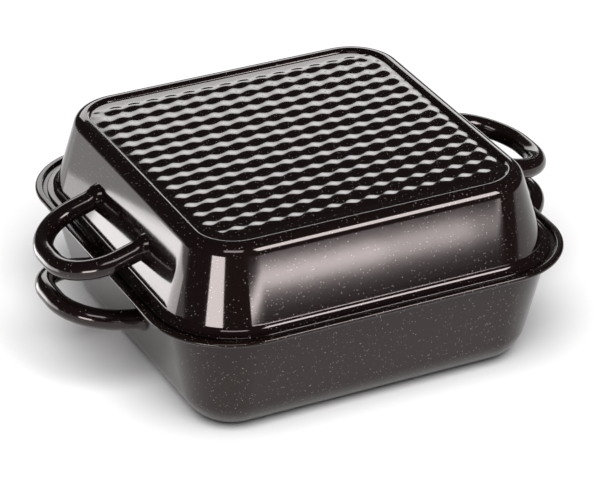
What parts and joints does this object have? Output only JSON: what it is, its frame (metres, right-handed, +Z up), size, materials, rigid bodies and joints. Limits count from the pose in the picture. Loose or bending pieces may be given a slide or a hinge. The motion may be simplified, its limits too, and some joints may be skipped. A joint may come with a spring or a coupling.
{
  "type": "square roasting pan with lid",
  "caption": "Square black enamelled steel roasting pan with rounded corners, a shallow lid with an embossed top that doubles as a grill pan, and looped tube handles on both.",
  "frame": {"origin": "centre of the pan's base, on the plane it stands on (bottom centre of the bounding box)", "axes": "+Z up, X through the handles, Y from the front (-Y) to the back, the pictured side in front"},
  "size_m": [0.3754, 0.3, 0.1405],
  "materials": {
    "pan_enamel": "gloss",
    "lid_enamel": "gloss",
    "handle_enamel": "gloss"
  },
  "bodies": {
    "root": {"pan": "pan_enamel", "lid": "lid_enamel", "pan_handle_left": "handle_enamel", "pan_handle_right": "handle_enamel", "lid_handle_left": "handle_enamel", "lid_handle_right": "handle_enamel"}
  },
  "joints": []
}
